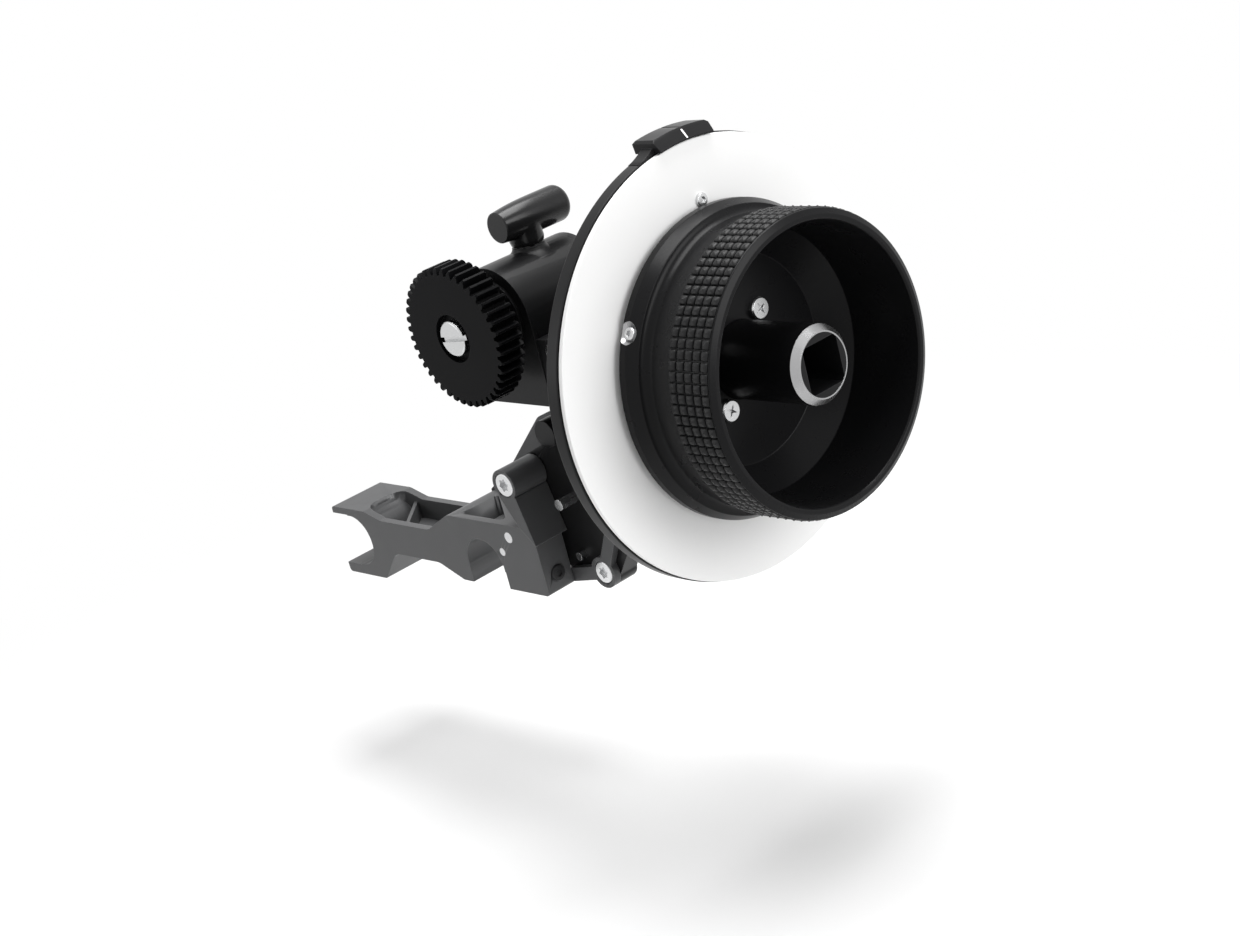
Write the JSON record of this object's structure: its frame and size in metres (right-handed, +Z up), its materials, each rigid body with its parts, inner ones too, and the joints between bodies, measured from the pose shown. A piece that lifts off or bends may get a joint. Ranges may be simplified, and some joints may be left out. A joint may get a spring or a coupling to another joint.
{
  "type": "follow focus unit",
  "caption": "Hand-wheel gear drive that clamps on two parallel support rods and turns a lens's focus gear ring, with a marking disc, index ring and swing arm.",
  "frame": {"origin": "axis of the near support rod, halfway along the rod grooves", "axes": "+X from the rods to the hand wheel, +Y along the rods to the rear, +Z up"},
  "size_m": [0.1885, 0.1045, 0.1216],
  "materials": {
    "bracket": "satin anodised grey",
    "plate": "satin anodised grey",
    "black_anodised": "satin anodised black",
    "white": "smooth white, wipeable",
    "steel": "plain",
    "brass": "plain"
  },
  "bodies": {
    "bridge": {"bridge": "bracket", "hinge_post": "plate", "pivot_plate": "plate", "plate_screws": "steel", "pivot_pin": "steel", "pivot_screw": "steel", "dowel_pins": "steel", "latch_screw": "steel"},
    "rod_latch": {"rod_latch": "steel"},
    "swing_arm": {"swing_arm": "black_anodised", "stay_plate": "plate", "stay_screw": "steel", "arm_pins": "steel", "hub": "black_anodised", "hub_screws": "steel", "hub_saddle": "black_anodised", "saddle_screws": "steel", "gearbox_housing": "black_anodised", "rear_cover": "black_anodised", "cover_screws": "steel", "drive_sleeve": "black_anodised", "sleeve_cap": "black_anodised", "bearing_outer_rings": "steel", "bearing_balls": "steel", "clamp_pad": "brass", "index_washer": "brass", "ring_nut": "steel"},
    "drive": {"drive_inner_rings": "steel", "drive_shaft": "steel", "drive_spacer": "steel", "drive_helical_gear": "steel", "drive_gear": "black_anodised", "gear_screw": "steel"},
    "wheel": {"wheel_inner_rings": "steel", "wheel_shaft": "steel", "wheel_spacers": "steel", "wheel_helical_gear": "steel", "disc_carrier": "black_anodised", "flange_screws": "steel", "marking_disc": "white", "hand_knob": "black_anodised", "grip_ring": "black_anodised", "socket_tube": "black_anodised", "centre_screw": "steel", "knob_screws": "steel", "set_screws": "steel", "disc_pin": "steel"},
    "index_ring": {"index_ring": "black_anodised", "pointer": "black_anodised", "index_line": "white"},
    "clamp_lever": {"clamp_lever": "black_anodised", "clamp_stud": "steel"}
  },
  "joints": [
    {"name": "arm_swing", "type": "hinge", "parent": "bridge", "child": "swing_arm", "pos_m": [0.0175, 0, 0.0248], "axis": [0, 1, 0], "range_deg": [-22, 14]},
    {"name": "rod_latch_turn", "type": "hinge", "parent": "bridge", "child": "rod_latch", "pos_m": [0.0132, -0.00425, 0.0096], "axis": [0, 1, 0], "range_deg": [-12, 0], "stiffness_Nm_per_rad": 0.02, "springref_deg": 5.73},
    {"name": "wheel_spin", "type": "hinge", "parent": "swing_arm", "child": "wheel", "pos_m": [0.0908, 0.01125, 0.0558], "axis": [1, 0, 0], "continuous": true},
    {"name": "drive_spin", "type": "hinge", "parent": "swing_arm", "child": "drive", "pos_m": [0.0288, 0, 0.06938], "axis": [0, 1, 0], "continuous": true},
    {"name": "index_ring_turn", "type": "hinge", "parent": "swing_arm", "child": "index_ring", "pos_m": [0.0888, 0.01125, 0.0558], "axis": [1, 0, 0], "continuous": true},
    {"name": "lever_turn", "type": "hinge", "parent": "swing_arm", "child": "clamp_lever", "pos_m": [0.0288, 0.01025, 0.0901], "axis": [0, 0, 1], "range_deg": [-10, 100]}
  ],
  "couplings": [
    {"joint": "drive_spin", "follows": "wheel_spin", "ratio": 1}
  ]
}
